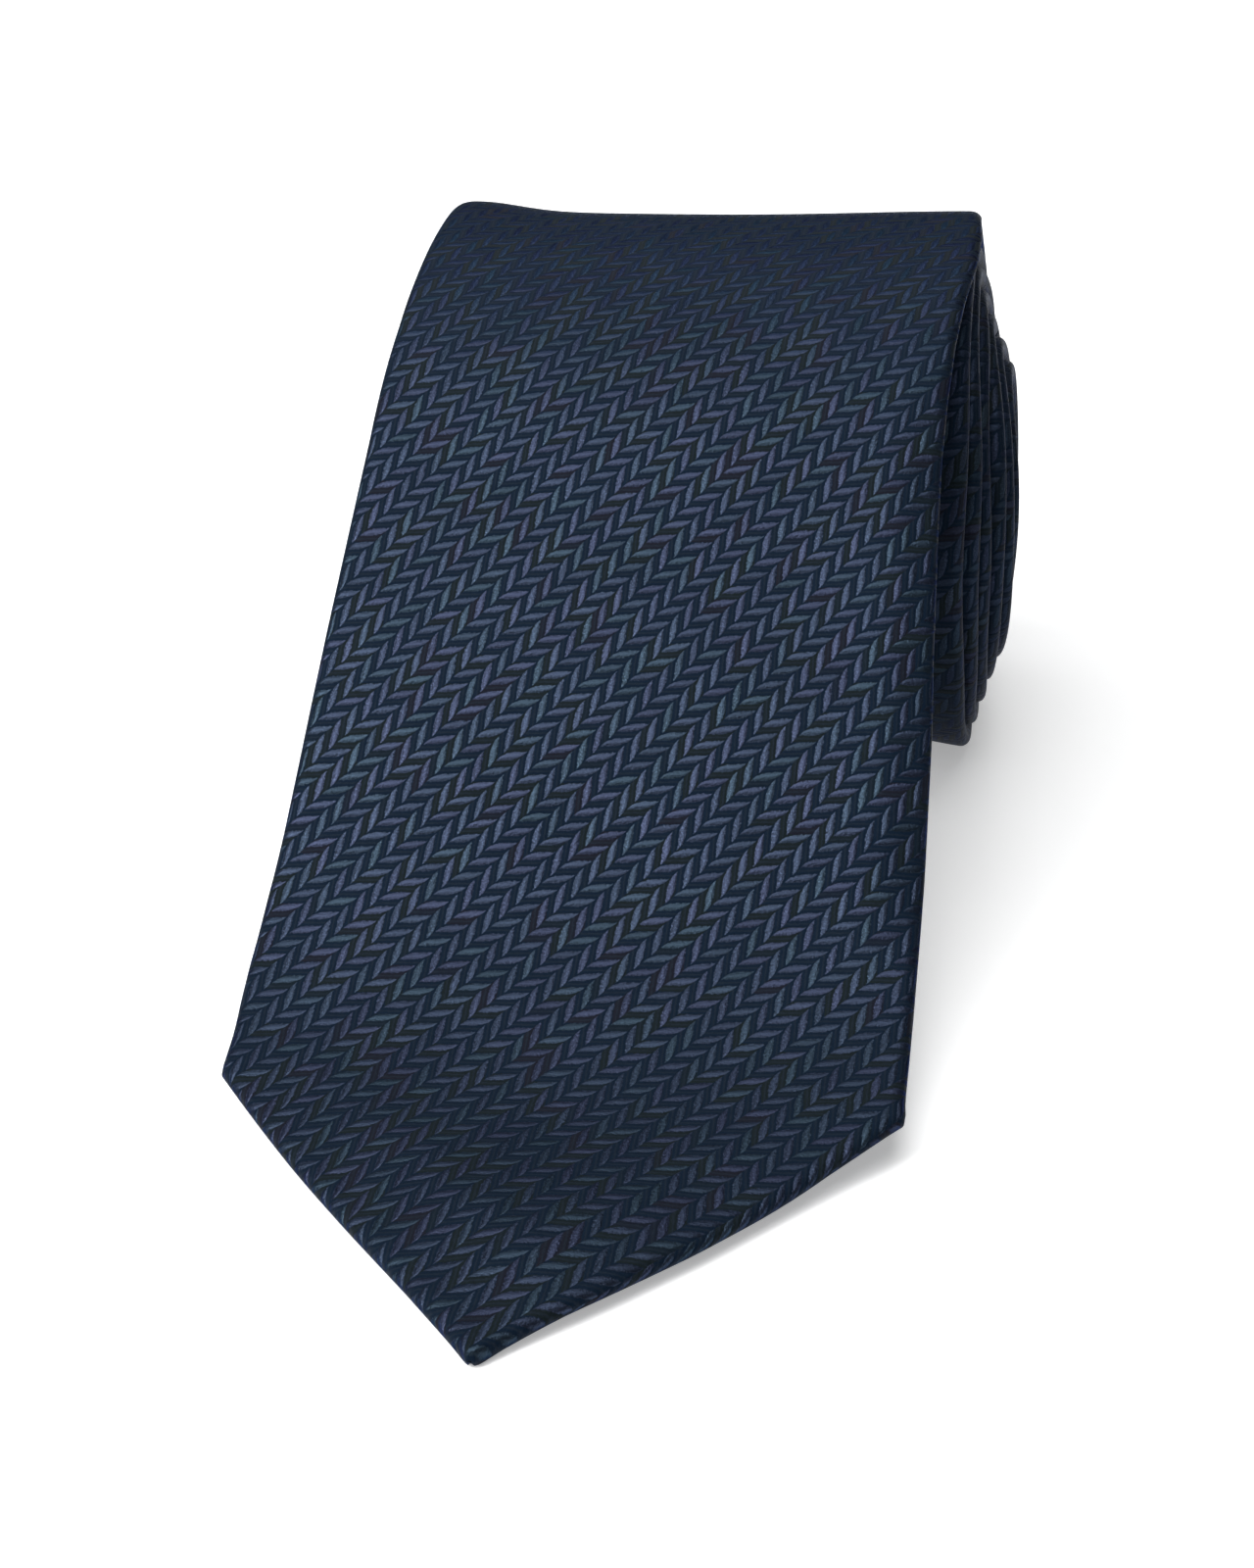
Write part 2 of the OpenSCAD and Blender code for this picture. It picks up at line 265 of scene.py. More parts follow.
def middle(s):
    """Middle of the width: straight with a slight lean in the blade, stepping out in the roll."""
    lean = LEAN * np.clip((s - CORNER) / LEAN_RUN, 0, 1)
    roll = np.interp(s, EVEN_S, COIL) - np.maximum(half_width(s), NECK_WIDTH / 2)
    wander = COIL_STRAY * drift(s, STRAY_WAVE, STRAY_SEED)
    roll = roll + wander * smooth((s - APEX - PAST_CROWN) / STRAY_RUN)
    share = smooth((s - APEX + COIL_BEFORE) / COIL_RUN)
    return lean * (1 - share) + roll * share


def stray(x, s):
    """Sideways shift of the cloth, so that the blade's edges are not quite straight."""
    left = np.interp(s, *zip(*LEFT_STRAY))
    right = np.interp(s, *zip(*RIGHT_STRAY))
    share = np.clip(x / np.maximum(half_width(s), 1.0) / 2 + 0.5, 0, 1)
    return left * (1 - share) + right * share


# Where the blade's cloth stands proud of the plain path: (x, s, spread in x, spread in s, height)
SWELLS = [
    (-6.0, 150.0, 26.0, 16.0, 0.5), (24.0, 118.0, 14.0, 18.0, -0.45), (-24.0, 95.0, 18.0, 22.0, 0.4),
    (10.0, 70.0, 22.0, 14.0, -0.35), (43.0, 43.0, 14.0, 13.0, 1.5), (-37.0, 203.0, 9.0, 18.0, 1.5),
    (38.0, 205.0, 24.0, 20.0, 1.1),
]
DOME, DOME_LEFT, DOME_RIGHT = 2.6, 14, 12    # the point's dome, and its reach from each edge
DOME_LEFT_SHARE = 0.45                       # of the dome's height, what needs only the left edge
DOME_FADE, DOME_FADE_RUN = 20, 34
EDGE_DROOP, DROOP_REACH = 1.5, 4.0           # how far the slope's right edge hangs, over what width
DROOP_START, DROOP_START_RUN = 62, 20
DROOP_END, DROOP_END_RUN = 130, 40
ROLL_BOW, BOW_RUN = 1.6, 50                  # how far the turns' middles sink below their edges


def relief(x, s):
    """Rise of the cloth over the plain path: a domed point, slow swells and edges that hang."""
    left, right = (s + x) / math.sqrt(2), (s - x) / math.sqrt(2)
    right_share = (1 - DOME_LEFT_SHARE) * smooth(right / DOME_RIGHT)
    dome = DOME * smooth(left / DOME_LEFT) * (DOME_LEFT_SHARE + right_share)
    total = dome * (1 - smooth((s - DOME_FADE) / DOME_FADE_RUN))
    for x0, s0, wx, ws, height in SWELLS:
        total = total + height * np.exp(-((x - x0) / wx) ** 2 - ((s - s0) / ws) ** 2)
    from_edge = np.maximum(half_width(s) - x, 0)
    hang = smooth((s - DROOP_START) / DROOP_START_RUN)
    hang = hang * (1 - smooth((s - DROOP_END) / DROOP_END_RUN))
    total = total - EDGE_DROOP * np.exp(-(from_edge / DROOP_REACH) ** 2) * hang
    across = np.clip(x / np.maximum(half_width(s), 1.0), -1, 1)
    bow = -ROLL_BOW * (1 - across ** 2) * smooth((s - APEX - PAST_CROWN) / BOW_RUN)
    return np.where(s < APEX + PAST_CROWN, total, 0) + bow


def place(x, s, rise):
    """World position in metres of points at x across, s along and rise above the middle."""
    x, s, rise = np.broadcast_arrays(x, s, rise)
    heading = np.interp(s, EVEN_S, HEADING)
    up = rise + relief(x, s)
    y = SHIFT_Y + np.interp(s, PATH_S, PATH_Y) - up * np.sin(heading)
    z = np.interp(s, PATH_S, PATH_Z) + up * np.cos(heading)
    z = np.maximum(z, FLOOR_GAP)
    return np.stack([SHIFT_X + middle(s) + x + stray(x, s), y, z], -1) * MM


# ---------------------------------------------------------------- mesh helpers

def make_object(name, verts, faces, cloth, material, marks=None):
    """A mesh object with a "cloth" UV layer of x and s in millimetres, and marks at its points."""
    mesh = bpy.data.meshes.new(name)
    mesh.from_pydata(verts.tolist(), [], faces)
    layer = mesh.uv_layers.new(name="cloth")
    corner = np.zeros(len(mesh.loops), np.int32)
    mesh.loops.foreach_get("vertex_index", corner)
    layer.data.foreach_set("uv", cloth[corner].astype(np.float32).ravel())
    for key, mark in (marks or {}).items():
        attribute = mesh.attributes.new(key, "FLOAT", "POINT")
        attribute.data.foreach_set("value", mark.astype(np.float32))
    work = bmesh.new()
    work.from_mesh(mesh)
    bmesh.ops.recalc_face_normals(work, faces=work.faces)
    work.to_mesh(mesh)
    work.free()
    mesh.polygons.foreach_set("use_smooth", np.ones(len(mesh.polygons), bool))
    mesh.materials.append(material)
    obj = bpy.data.objects.new(name, mesh)
    bpy.context.scene.collection.objects.link(obj)
    return obj


def band(name, s, outer, inner, material, cloth_x, marks=None):
    """A closed band along the tie. outer and inner are (x, rise), each with a row for every s."""
    rows, count = outer[0].shape
    x = np.concatenate([outer[0], inner[0][:, ::-1]], 1)
    rise = np.concatenate([outer[1], inner[1][:, ::-1]], 1)
    ring = 2 * count
    verts = place(x, s[:, None], rise).reshape(-1, 3)
    across = np.concatenate([cloth_x, cloth_x[:, ::-1]], 1)
    cloth = np.stack([across, np.broadcast_to(s[:, None], across.shape)], -1).reshape(-1, 2)
    i, k = np.meshgrid(np.arange(rows - 1), np.arange(ring), indexing="ij")
    m = (k + 1) % ring
    p = i * ring
    faces = np.stack([p + k, p + ring + k, p + ring + m, p + m], -1).reshape(-1, 4).tolist()
    for start, flip in ((0, False), ((rows - 1) * ring, True)):
        for j in range(count - 1):
            quad = [start + j, start + j + 1, start + ring - 2 - j, start + ring - 1 - j]
            faces.append(quad[::-1] if flip else quad)
    marks = {key: np.concatenate([mark, mark[:, ::-1]], 1).ravel()
             for key, mark in (marks or {}).items()}
    return make_object(name, verts, faces, cloth, material, marks)


THREAD_SIDES = 6
THREAD_END = 0.35                            # a thread's ends are this much of its radius
STEEP = 0.2                                  # below this, a thread is too steep for a level side


def tubes(name, lines, radius, material):
    """Round threads along lines of (x, s, rise) points."""
    verts, faces, cloth = [], [], []
    sides = THREAD_SIDES
    turn = np.arange(sides) * 2 * np.pi / sides
    for line in lines:
        line = np.asarray(line, float)
        along = np.gradient(line, axis=0)
        along /= np.maximum(np.linalg.norm(along, axis=1, keepdims=True), 1e-9)
        side = np.cross(along, [0, 0, 1.0])
        weak = np.linalg.norm(side, axis=1) < STEEP
        side[weak] = np.cross(along[weak], [0, 1.0, 0])
        side /= np.linalg.norm(side, axis=1, keepdims=True)
        other = np.cross(along, side)
        thin = np.full(len(line), radius)
        thin[[0, -1]] = radius * THREAD_END
        ring = line[:, None] + thin[:, None, None] * (
            np.cos(turn)[None, :, None] * side[:, None] + np.sin(turn)[None, :, None] * other[:, None])
        base = sum(len(v) for v in verts)
        verts.append(place(ring[..., 0], ring[..., 1], ring[..., 2]).reshape(-1, 3))
        run = np.concatenate([[0], np.cumsum(np.linalg.norm(np.diff(line, axis=0), axis=1))])
        wound = np.broadcast_arrays(turn[None] * radius, run[:, None])
        cloth.append(np.stack(wound, -1).reshape(-1, 2))
        for i in range(len(line) - 1):
            for k in range(sides):
                a, b = base + i * sides + k, base + i * sides + (k + 1) % sides
                faces.append([a, b, b + sides, a + sides])
        faces.append([base + k for k in range(sides)])
        faces.append([base + (len(line) - 1) * sides + k for k in range(sides)])
    return make_object(name, np.concatenate(verts), faces, np.concatenate(cloth), material)


# ---------------------------------------------------------------- materials

class Shader:
    """A Principled material under construction, with short ways to chain its nodes."""

    def __init__(self, name, **constants):
        self.material = bpy.data.materials.new(name)
        self.material.use_nodes = True
        self.tree = self.material.node_tree
        self.surface = self.tree.nodes["Principled BSDF"]
        for socket, value in constants.items():
            self.surface.inputs[socket.replace("_", " ")].default_value = value
        layer = self.tree.nodes.new("ShaderNodeUVMap")
        layer.uv_map = "cloth"
        split = self.tree.nodes.new("ShaderNodeSeparateXYZ")
        self.link(layer.outputs["UV"], split.inputs[0])
        self.x, self.s = split.outputs[0], split.outputs[1]

    def link(self, source, target):
        self.tree.links.new(source, target)

    def feed(self, socket, value):
        if isinstance(value, bpy.types.NodeSocket):
            self.link(value, socket)
        else:
            socket.default_value = value

    def math(self, operation, *values):
        node = self.tree.nodes.new("ShaderNodeMath")
        node.operation = operation
        for socket, value in zip(node.inputs, values):
            self.feed(socket, value)
        return node.outputs[0]

    def add(self, a, b):
        return self.math("ADD", a, b)

    def times(self, a, b):
        return self.math("MULTIPLY", a, b)

    def ramp(self, value, low, high, out_low=0.0, out_high=1.0):
        node = self.tree.nodes.new("ShaderNodeMapRange")
        node.interpolation_type = "SMOOTHSTEP"
        for name, item in (("Value", value), ("From Min", low), ("From Max", high),
                           ("To Min", out_low), ("To Max", out_high)):
            self.feed(node.inputs[name], item)
        return node.outputs[0]

    def vector(self, x, y, z=0.0):
        node = self.tree.nodes.new("ShaderNodeCombineXYZ")
        for socket, value in zip(node.inputs, (x, y, z)):
            self.feed(socket, value)
        return node.outputs[0]

    def noise(self, vector, scale, detail=2.0, roughness=0.5):
        node = self.tree.nodes.new("ShaderNodeTexNoise")
        self.feed(node.inputs["Vector"], vector)
        node.inputs["Scale"].default_value = scale
        node.inputs["Detail"].default_value = detail
        node.inputs["Roughness"].default_value = roughness
        return node.outputs["Fac"]

    def random(self, vector):
        node = self.tree.nodes.new("ShaderNodeTexWhiteNoise")
        node.noise_dimensions = "3D"
        self.feed(node.inputs["Vector"], vector)
        return node.outputs["Value"]

    def mix(self, amount, first, second):
        node = self.tree.nodes.new("ShaderNodeMix")
        node.data_type = "RGBA"
        self.feed(node.inputs[0], amount)
        for socket, value in ((node.inputs[6], first), (node.inputs[7], second)):
            if isinstance(value, tuple):
                socket.default_value = (*value, 1.0)
            else:
                self.feed(socket, value)
        return node.outputs[2]

    def scaled(self, colour, amount):
        """colour with its brightness multiplied by amount."""
        node = self.tree.nodes.new("ShaderNodeVectorMath")
        node.operation = "SCALE"
        if isinstance(colour, tuple):
            node.inputs[0].default_value = colour
        else:
            self.link(colour, node.inputs[0])
        self.feed(node.inputs["Scale"], amount)
        return node.outputs[0]

    def attribute(self, name):
        node = self.tree.nodes.new("ShaderNodeAttribute")
        node.attribute_name = name
        return node.outputs["Fac"]

    def finish(self, colour, roughness, height, depth_mm, strength):
        bump = self.tree.nodes.new("ShaderNodeBump")
        bump.inputs["Distance"].default_value = depth_mm * MM
        bump.inputs["Strength"].default_value = strength
        self.feed(bump.inputs["Height"], height)
        self.link(bump.outputs[0], self.surface.inputs["Normal"])
        self.feed(self.surface.inputs["Base Color"], colour)
        self.feed(self.surface.inputs["Roughness"], roughness)
        return self.material


# The weave's repeat: one light and one dark bar along a stripe, and two stripes across
ALONG_STRIPE, ACROSS_STRIPE = (-1.91, -2.23), (3.15, -3.08)
WEAVE_ORIGIN = (11.48, 109.2)
BAR_SHARE = 0.54                             # of a repeat, what the light bar takes
BAR_LEAN = 0.8                               # how far a bar runs along its stripe as it crosses it
STRIPE_STRAY, STRAY_SCALE = 0.25, 0.05
BAR_JAG, JAG_SCALE = 0.26, 2.6
# A bar's two edges: how far each is cut back at its own end, how suddenly, and how soft they are
TOP_CUT, LOW_CUT, CUT_POWER, LOW_SPARE = 0.24, 0.26, 2.6, 0.03
EDGE_SOFT = 0.06
LINE_AT = 0.55                               # the thread line that shows in a dark bar

LIGHT_BAR = (0.0228, 0.0312, 0.0520)
GREEN_BAR = (0.0205, 0.0325, 0.0470)
VIOLET_BAR = (0.0242, 0.0298, 0.0535)
DARK_BAR = (0.0036, 0.0082, 0.0165)
OLIVE_DARK = (0.0058, 0.0090, 0.0105)
BROWN_DARK = (0.0070, 0.0078, 0.0125)
DARK_LINE = (0.0100, 0.0145, 0.0215)
# Painted highlight colour on the folded edges
FOLD_HIGHLIGHT_COLOUR = (0.0240, 0.0300, 0.0440)
# Share of the light that is gloss: high on the long floats of the light bars
GLOSS_LIGHT, GLOSS_DARK = 0.92, 0.12
# Painted shade between the packed turns of the roll: how far their light bars darken and lose gloss
PACKED_SHADE_AND_DULL = 0.5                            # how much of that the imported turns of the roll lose
SILK_ROUGH, LIGHT_SMOOTHER, THREAD_ROUGHER = 0.46, 0.11, 0.08


def patterned_silk():
    """Twill-like stripes of slanted bars, light and glossy in turn with dark and dull."""
    m = Shader("patterned_silk", Specular_IOR_Level=0.04, Sheen_Weight=0.015,
               Sheen_Roughness=0.4, Sheen_Tint=(0.55, 0.7, 1.0, 1.0),
               Specular_Tint=(0.25, 0.32, 0.45, 1.0))
    (ax, ay), (bx, by) = ALONG_STRIPE, ACROSS_STRIPE
    det = ax * by - bx * ay
    x = m.add(m.x, -WEAVE_ORIGIN[0])
    s = m.add(m.s, -WEAVE_ORIGIN[1])
    p = m.add(m.times(x, by / det), m.times(s, -bx / det))
    q = m.add(m.times(x, -ay / det), m.times(s, ax / det))
    wander = m.noise(m.vector(m.x, m.s), STRAY_SCALE, 1.0)
    q = m.add(q, m.times(m.add(wander, -0.5), STRIPE_STRAY))
    stripe = m.math("FRACT", q)
    upright = m.math("GREATER_THAN", stripe, 0.5)
    swing = m.math("SUBTRACT", 1.0, m.math("ABSOLUTE", m.math("SUBTRACT", m.times(stripe, 2.0), 1.0)))
    phase = m.add(m.add(p, m.times(swing, BAR_LEAN)), m.times(upright, 0.5))
    jag = m.noise(m.vector(m.x, m.s), JAG_SCALE, 2.0, 0.7)
    phase = m.add(phase, m.times(m.add(jag, -0.5), BAR_JAG))
    bar = m.math("FRACT", phase)

    # Across the stripe, from -1 to 1. A bar tapers from one side at each end, to a point.
    across = m.math("SUBTRACT", m.times(m.math("FRACT", m.times(q, 2.0)), 2.0), 1.0)
    turned = m.times(across, m.math("SUBTRACT", 1.0, m.times(upright, 2.0)))
    taper = m.math("POWER", m.math("ABSOLUTE", across), 4.0)
    near_end = m.math("POWER", m.math("MAXIMUM", m.times(turned, -1.0), 0.0), CUT_POWER)
    far_end = m.math("POWER", m.math("MAXIMUM", turned, 0.0), CUT_POWER)
    top = m.ramp(m.math("SUBTRACT", bar, m.times(near_end, TOP_CUT)), 0.0, EDGE_SOFT)
    low_edge = m.math("SUBTRACT", BAR_SHARE + LOW_SPARE, m.times(far_end, LOW_CUT))
    past_low = m.math("SUBTRACT", bar, low_edge)
    bottom = m.ramp(past_low, -EDGE_SOFT / 2, EDGE_SOFT / 2, 1.0, 0.0)
    light = m.times(top, bottom)

    # The light bars are darkened where the turns of the roll are packed together: painted shade
    # between the turns, which also takes down their gloss and relief
    packed = m.attribute("packed")
    light = m.times(light, m.math("SUBTRACT", 1.0, m.times(packed, PACKED_SHADE_AND_DULL)))

    # Each bar's own brightness and tint
    cell = m.vector(m.math("FLOOR", phase), m.math("FLOOR", m.times(q, 2.0)), 0.0)
    own = m.random(cell)
    cell_2 = m.vector(m.math("FLOOR", phase), m.math("FLOOR", m.times(q, 2.0)), 7.0)
    tint = m.random(cell_2)

    # Threads: long floats along each bar, and finer speckle where the weft shows
    flat_threads = m.noise(m.vector(m.times(m.x, 1.1), m.times(m.s, 5.0)), 1.0, 3.0, 0.7)
    up_threads = m.noise(m.vector(m.times(m.x, 5.0), m.times(m.s, 1.4)), 1.0, 3.0, 0.7)
    threads = m.mix(upright, flat_threads, up_threads)
    speckle = m.ramp(m.noise(m.vector(m.x, m.s), 3.6, 2.0, 0.9), 0.50, 0.62)
    depth = m.math("DIVIDE", bar, BAR_SHARE)
    # Each bar is painted lighter at its upper edge and darker towards its lower edge, strongly on the
    # flat bars and mildly on the upright ones: a painted highlight and painted shade of the bar's
    # relief
    flat_bar_painted_shading = m.math("SUBTRACT", 1.22, m.times(m.math("POWER", depth, 1.6), 0.62))
    upright_bar_painted_shading = m.math("SUBTRACT", 1.08, m.times(depth, 0.22))
    bar_painted_shading = m.add(m.times(flat_bar_painted_shading, m.math("SUBTRACT", 1.0, upright)), m.times(upright_bar_painted_shading, upright))
    shine = m.add(0.80, m.times(own, 0.36))
    shine = m.times(shine, bar_painted_shading)
    shine = m.times(shine, m.add(0.72, m.times(threads, 0.55)))
    shine = m.add(shine, m.times(speckle, m.add(0.25, m.times(upright, 0.65))))

    bar_colour = m.mix(m.ramp(tint, 0.45, 1.0), LIGHT_BAR, VIOLET_BAR)
    bar_colour = m.mix(m.ramp(tint, 0.0, 0.4, 1.0, 0.0), bar_colour, GREEN_BAR)
    bright = m.scaled(bar_colour, shine)
    in_dark = m.math("DIVIDE", m.math("SUBTRACT", bar, BAR_SHARE), 1 - BAR_SHARE)
    from_line = m.math("ABSOLUTE", m.math("SUBTRACT", in_dark, LINE_AT))
    line = m.ramp(from_line, 0.05, 0.20, 1.0, 0.0)
    deep = m.mix(m.ramp(own, 0.66, 0.78), DARK_BAR, OLIVE_DARK)
    deep = m.mix(m.ramp(tint, 0.90, 0.95), deep, BROWN_DARK)
    dark = m.mix(m.times(line, m.add(0.15, m.times(threads, 0.75))), deep, DARK_LINE)
    dark = m.scaled(dark, m.add(0.70, m.times(threads, 0.6)))
    colour = m.mix(light, dark, bright)

    # Slow changes over the cloth, and the folds painted a little paler in patches: a painted highlight
    # where the rounded folded edges catch the light
    patch = m.noise(m.vector(m.x, m.s), 0.035, 2.0)
    colour = m.scaled(colour, m.add(0.86, m.times(patch, 0.28)))
    fold = m.attribute("fold")
    painted_fold_highlight = m.times(fold, m.ramp(m.noise(m.vector(m.x, m.s), 1.6, 3.0, 0.7), 0.45, 0.75, 0.0, 0.35))
    colour = m.mix(painted_fold_highlight, colour, FOLD_HIGHLIGHT_COLOUR)

    # Light bars stand proud, dark bars less, and both sink at the stripe's edges
    raised = m.math("SINE", m.times(m.math("MINIMUM", depth, 1.0), math.pi))
    sunk = m.times(m.math("SINE", m.times(m.math("MAXIMUM", in_dark, 0.0), math.pi)), 0.35)
    height = m.add(m.times(raised, light), sunk)
    height = m.times(height, m.math("SUBTRACT", 1.0, m.times(taper, 0.8)))
    height = m.add(height, m.times(threads, 0.35))
    gloss = m.add(GLOSS_DARK, m.times(light, GLOSS_LIGHT - GLOSS_DARK))
    m.feed(m.surface.inputs["Metallic"], gloss)
    rough = m.add(SILK_ROUGH, m.times(light, -LIGHT_SMOOTHER))
    rough = m.add(rough, m.times(threads, THREAD_ROUGHER))
    return m.finish(colour, rough, height, depth_mm=0.16, strength=0.8)


TIPPING_DARK, TIPPING_LIGHT = (0.006, 0.010, 0.020), (0.020, 0.030, 0.052)
TIPPING_TWILL, TIPPING_WEFT = 0.42, 0.21     # spacing of the ribs and of the threads across them
WOOL_DARK, WOOL_LIGHT = (0.52, 0.49, 0.42), (0.80, 0.77, 0.70)
WOOL_WARP, WOOL_WEFT = 0.9, 1.0
THREAD_DARK, THREAD_LIGHT = (0.010, 0.014, 0.026), (0.040, 0.052, 0.085)
TWIST_AROUND, TWIST_ALONG = 0.35, 0.4
LABEL_RIB = 0.30
BORDER_INSET, BORDER_CORE, BORDER_SOFT = 2.2, 0.25, 0.45


def ribs(m, across, spacing):
    """A wave from -1 to 1 with the given spacing."""
    return m.math("SINE", m.times(across, 2 * math.pi / spacing))


def plain_tipping():
    """Plain twill lining."""
    m = Shader("plain_tipping", Specular_IOR_Level=0.08, Sheen_Weight=0.02, Sheen_Roughness=0.4)
    twill = ribs(m, m.add(m.x, m.s), TIPPING_TWILL)
    weft = ribs(m, m.math("SUBTRACT", m.x, m.s), TIPPING_WEFT)
    slub = m.noise(m.vector(m.times(m.x, 0.6), m.times(m.s, 5.0)), 1.0, 3.0, 0.6)
    wave = m.noise(m.vector(m.x, m.s), 0.06, 2.0)
    amount = m.add(0.5, m.times(twill, 0.28))
    colour = m.mix(amount, TIPPING_DARK, TIPPING_LIGHT)
    colour = m.scaled(colour, m.add(0.55, m.add(m.times(slub, 0.6), m.times(wave, 0.35))))
    height = m.add(m.add(twill, m.times(weft, 0.4)), m.times(slub, 1.2))
    rough = m.add(0.38, m.times(slub, 0.2))
    return m.finish(colour, rough, height, depth_mm=0.05, strength=0.7)


def wool_lining():
    """Unbleached, slightly hairy plain weave."""
    m = Shader("wool_lining", Specular_IOR_Level=0.2, Sheen_Weight=0.25, Sheen_Roughness=0.6)
    warp = ribs(m, m.x, WOOL_WARP)
    weft = ribs(m, m.s, WOOL_WEFT)
    fibre = m.noise(m.vector(m.x, m.s), 3.0, 5.0, 0.75)
    clump = m.noise(m.vector(m.x, m.s), 0.25, 3.0)
    colour = m.mix(fibre, WOOL_DARK, WOOL_LIGHT)
    colour = m.scaled(colour, m.add(0.82, m.times(clump, 0.3)))
    height = m.add(m.times(warp, weft), m.times(fibre, 2.0))
    rough = m.add(0.8, m.times(fibre, 0.15))
    return m.finish(colour, rough, height, depth_mm=0.12, strength=0.8)


def sewing_thread():
    """Twisted silk thread."""
    m = Shader("sewing_thread", Specular_IOR_Level=0.15, Sheen_Weight=0.04, Sheen_Roughness=0.4)
    around = m.times(m.x, 2 * math.pi / TWIST_AROUND)
    twist = m.math("SINE", m.add(around, m.times(m.s, 2 * math.pi / TWIST_ALONG)))
    lint = m.noise(m.vector(m.times(m.x, 4.0), m.times(m.s, 2.0)), 1.0, 3.0)
    amount = m.add(0.5, m.times(twist, 0.4))
    colour = m.mix(amount, THREAD_DARK, THREAD_LIGHT)
    colour = m.scaled(colour, m.add(0.7, m.times(lint, 0.5)))
    rough = m.add(0.42, m.times(lint, 0.15))
    return m.finish(colour, rough, m.add(twist, lint), depth_mm=0.05, strength=0.8)


def woven_label(name, base, border, width, start, length):
    """A blank label: satin ribs across, with a plain border line."""
    m = Shader(name, Specular_IOR_Level=0.12, Sheen_Weight=0.04, Sheen_Roughness=0.35)
    rib = ribs(m, m.s, LABEL_RIB)
    warp = m.noise(m.vector(m.times(m.x, 5.0), m.times(m.s, 1.2)), 1.0, 3.0, 0.6)
    from_side = m.math("SUBTRACT", width / 2, m.math("ABSOLUTE", m.x))
    from_end = m.math("SUBTRACT", length / 2,
                      m.math("ABSOLUTE", m.math("SUBTRACT", m.s, start + length / 2)))
    inside = m.math("MINIMUM", from_side, from_end)
    from_border = m.math("ABSOLUTE", m.math("SUBTRACT", inside, BORDER_INSET))
    line = m.ramp(from_border, BORDER_CORE, BORDER_SOFT, 1.0, 0.0)
    colour = m.mix(line, base, border)
    colour = m.scaled(colour, m.add(0.62, m.add(m.times(warp, 0.5), m.times(rib, 0.12))))
    height = m.add(m.add(rib, m.times(warp, 1.5)), m.times(line, 1.5))
    rough = m.add(0.34, m.times(warp, 0.2))
    return m.finish(colour, rough, height, depth_mm=0.05, strength=0.7)


silk = patterned_silk()
tipping_cloth = plain_tipping()
wool = wool_lining()
thread = sewing_thread()
label_satin = woven_label("label_satin", base=(0.012, 0.018, 0.034), border=(0.10, 0.12, 0.17),
                          width=LABEL_WIDTH, start=LABEL_AT, length=LABEL_LENGTH)
care_tape = woven_label("care_tape", base=(0.62, 0.62, 0.60), border=(0.45, 0.46, 0.48),
                        width=CARE_WIDTH, start=CARE_AT, length=CARE_LENGTH)


# ---------------------------------------------------------------- cloth pieces

BLADE_MARKS = (0.15, 0.4, 0.8, 1.3, 2.0, 3.0, CORNER - 1.2, CORNER - 0.6, CORNER, CORNER + 0.8)
TAIL_MARKS = (0.15, 0.4, 0.8, 1.3, 2.0, TAIL_WIDTH / 2 - 0.6)
MARK_CLEARANCE = 0.4                         # of a step, how near a mark an even station may be


def stations(start, end, step):
    """Distances along the tie, closer together at the two points."""
    marks = [v for v in BLADE_MARKS if start < v < end]
    marks += [TIE_END - v for v in TAIL_MARKS if start < TIE_END - v < end]
    marks += [start, end]
    room = MARK_CLEARANCE * step
    even = {v for v in np.arange(start, end, step) if min(abs(v - m) for m in marks) > room}
    return np.array(sorted(set(marks) | even))


# A folded edge of the silk: half its height and its width, in the blade and in the roll
BLADE_FOLD, ROLL_FOLD = (1.22, 1.8), (1.55, 1.6)
FOLD_BEFORE, FOLD_RUN = 10, 50               # the roll's folds set in here, before the apex
FOLD_STRAY, FOLD_WAVE, FOLD_SEED = 0.05, 23.0, 11
FOLD_SPREAD = 5.0                            # how far from a fold the cloth is still thicker
POINT_FOLD_WIDER = 0.4
FOLD_LIMIT = 0.75                            # of half the width, the most that a fold takes
THINNEST, TIP_LENGTH = 0.12, 1.3             # the cloth closes over this length at the two tips
FLAP_DIP, DIP_SPREAD = 0.38, 0.5             # the flaps' edges turn down into the seam
FLAP_AT = (0, 0.012, 0.03, 0.055, 0.09, 0.16, 0.26, 0.38, 0.52, 0.68, 0.84, 1.0)
FOLD_POINTS = 15
FACE_CROWDING, PLY_CROWDING = 1.15, 1.3      # how much closer points lie towards the edges
PACKED_REACH, PACKED_RUN = 8.0, 50


def crowded(count, crowding):
    """Numbers from -1 to 1, closer together towards the two ends."""
    return np.sin(np.linspace(-1, 1, count) * crowding) / math.sin(crowding)


